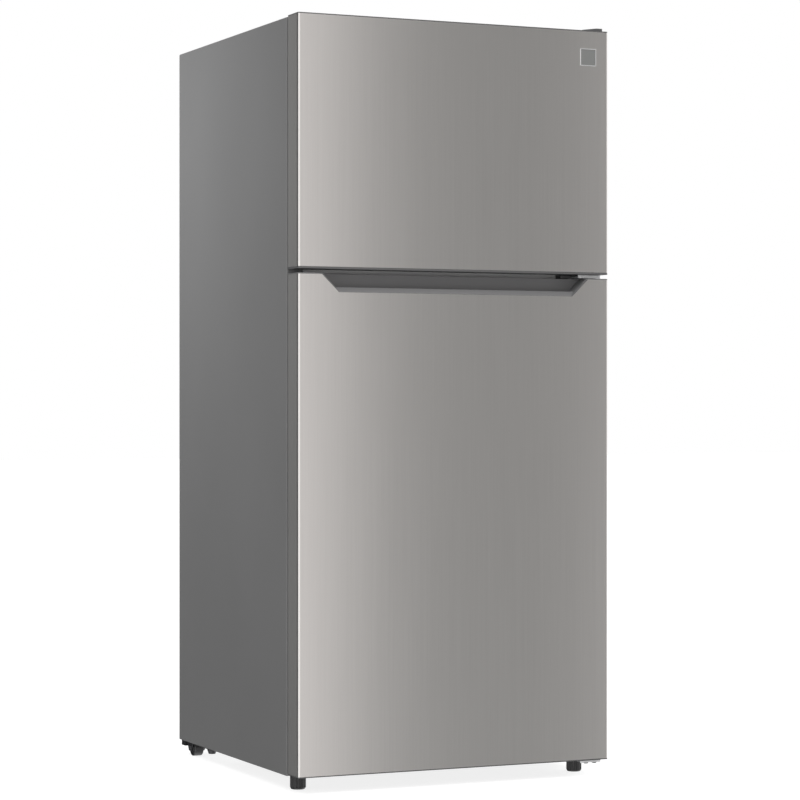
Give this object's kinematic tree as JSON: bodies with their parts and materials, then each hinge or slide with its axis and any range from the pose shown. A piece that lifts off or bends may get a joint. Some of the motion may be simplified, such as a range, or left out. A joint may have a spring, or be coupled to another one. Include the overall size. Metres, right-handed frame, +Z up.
{
  "type": "top freezer refrigerator",
  "caption": "Upright household refrigerator with a freezer compartment over a fresh food compartment, each behind a right-hinged door, with a pocket handle between them.",
  "frame": {"origin": "centre of the footprint, on the floor under the feet", "axes": "+Z up, -Y out of the doors, +X towards the hinge side (right, seen from the front)"},
  "size_m": [0.75, 0.755, 1.678],
  "materials": {
    "grey_paint": "fine satin texture",
    "insulating_foam": "rigid polyurethane foam, matt",
    "galvanised_steel": "galvanised, dull spangle",
    "white_plastic": "smooth moulded",
    "white_coated_wire": "white epoxy coat on steel wire",
    "black_plastic": "moulded, satin",
    "black_steel": "black enamel",
    "zinc_plate": "bright zinc plate",
    "dark_grey_plastic": "fine moulded grain",
    "aluminium": "satin",
    "shelf_glass": "tempered, polished",
    "clear_plastic": "clear polystyrene",
    "stainless_front": "upright brushed grain under a clear coat",
    "grey_rubber": "matt"
  },
  "bodies": {
    "cabinet": {"outer_wrapper": "grey_paint", "base_pan": "grey_paint", "insulation": "insulating_foam", "rear_panel": "galvanised_steel", "fridge_liner": "white_plastic", "freezer_liner": "white_plastic", "center_rail": "grey_paint", "rear_roller_bracket_right": "black_steel", "rear_roller_bracket_left": "black_steel", "top_hinge_bracket": "zinc_plate", "top_hinge_cover": "dark_grey_plastic", "center_hinge_bracket": "zinc_plate", "center_hinge_cover": "black_plastic", "bottom_hinge_bracket": "zinc_plate", "compressor_tray": "galvanised_steel", "compressor": "black_steel", "condenser_coil": "black_steel", "drain_pan": "black_plastic", "machine_cover": "galvanised_steel", "freezer_shelf": "white_coated_wire", "evaporator_cover": "white_plastic", "evaporator_coil": "aluminium", "fan_motor": "black_plastic", "upper_shelf": "shelf_glass", "lower_shelf": "shelf_glass", "crisper_cover": "shelf_glass", "control_housing": "white_plastic", "light_lens": "clear_plastic"},
    "freezer_door": {"freezer_door_frame": "grey_paint", "freezer_door_bottom_cap": "dark_grey_plastic", "freezer_door_liner": "white_plastic", "freezer_door_gasket": "grey_rubber", "freezer_door_skin": "stainless_front", "freezer_door_top_cap": "dark_grey_plastic", "freezer_door_foam": "insulating_foam", "freezer_door_lower_bin": "clear_plastic", "freezer_door_upper_bin": "clear_plastic", "badge": "aluminium"},
    "fridge_door": {"fridge_door_frame": "grey_paint", "fridge_door_bottom_cap": "dark_grey_plastic", "fridge_door_liner": "white_plastic", "fridge_door_gasket": "grey_rubber", "fridge_door_skin": "stainless_front", "fridge_door_top_cap": "dark_grey_plastic", "fridge_door_foam": "insulating_foam", "bottle_bin": "clear_plastic", "gallon_bin": "clear_plastic", "dairy_bin": "clear_plastic"},
    "dairy_cover": {"dairy_cover": "clear_plastic"},
    "crisper_right": {"crisper_right": "clear_plastic"},
    "crisper_left": {"crisper_left": "clear_plastic"},
    "humidity_slider_right": {"humidity_slider_right": "white_plastic"},
    "humidity_slider_left": {"humidity_slider_left": "white_plastic"},
    "temperature_dial": {"temperature_dial": "white_plastic"},
    "light_switch_button": {"light_switch_button": "white_plastic"},
    "fan_blade": {"fan_blade": "white_plastic"},
    "rear_roller_right": {"rear_roller_right": "black_plastic"},
    "rear_roller_left": {"rear_roller_left": "black_plastic"},
    "front_foot_left": {"front_foot_left": "black_plastic"},
    "front_foot_right": {"front_foot_right": "black_plastic"}
  },
  "joints": [
    {"name": "freezer_door_hinge", "type": "hinge", "parent": "cabinet", "child": "freezer_door", "pos_m": [0.357, -0.344, 1.397], "axis": [0, 0, 1], "range_deg": [0, 130]},
    {"name": "fridge_door_hinge", "type": "hinge", "parent": "cabinet", "child": "fridge_door", "pos_m": [0.357, -0.344, 0.574], "axis": [0, 0, 1], "range_deg": [0, 130]},
    {"name": "dairy_cover_hinge", "type": "hinge", "parent": "fridge_door", "child": "dairy_cover", "pos_m": [0, -0.308, 0.958], "axis": [1, 0, 0], "range_deg": [0, 90]},
    {"name": "crisper_right_slide", "type": "slide", "parent": "cabinet", "child": "crisper_right", "axis": [0, -1, 0], "range_m": [0, 0.055]},
    {"name": "crisper_left_slide", "type": "slide", "parent": "cabinet", "child": "crisper_left", "axis": [0, -1, 0], "range_m": [0, 0.055]},
    {"name": "humidity_slider_right_slide", "type": "slide", "parent": "crisper_right", "child": "humidity_slider_right", "axis": [1, 0, 0], "range_m": [-0.02, 0.02]},
    {"name": "humidity_slider_left_slide", "type": "slide", "parent": "crisper_left", "child": "humidity_slider_left", "axis": [1, 0, 0], "range_m": [-0.02, 0.02]},
    {"name": "temperature_dial_turn", "type": "hinge", "parent": "cabinet", "child": "temperature_dial", "pos_m": [-0.09, -0.244, 1.062], "axis": [0, -1, 0], "range_deg": [-135, 135]},
    {"name": "light_switch_press", "type": "slide", "parent": "cabinet", "child": "light_switch_button", "axis": [0, 1, 0], "range_m": [0, 0.008], "stiffness_N_per_m": 100},
    {"name": "fan_spin", "type": "hinge", "parent": "cabinet", "child": "fan_blade", "pos_m": [0, 0.248, 1.47], "axis": [0, 1, 0], "continuous": true},
    {"name": "rear_roller_right_spin", "type": "hinge", "parent": "cabinet", "child": "rear_roller_right", "pos_m": [0.354, 0.314, 0.019], "axis": [1, 0, 0], "continuous": true},
    {"name": "rear_roller_left_spin", "type": "hinge", "parent": "cabinet", "child": "rear_roller_left", "pos_m": [-0.354, 0.314, 0.019], "axis": [1, 0, 0], "continuous": true},
    {"name": "front_foot_right_turn", "type": "hinge", "parent": "cabinet", "child": "front_foot_right", "pos_m": [0.338, -0.283, 0], "axis": [0, 0, 1], "continuous": true},
    {"name": "front_foot_left_turn", "type": "hinge", "parent": "cabinet", "child": "front_foot_left", "pos_m": [-0.338, -0.283, 0], "axis": [0, 0, 1], "continuous": true}
  ]
}
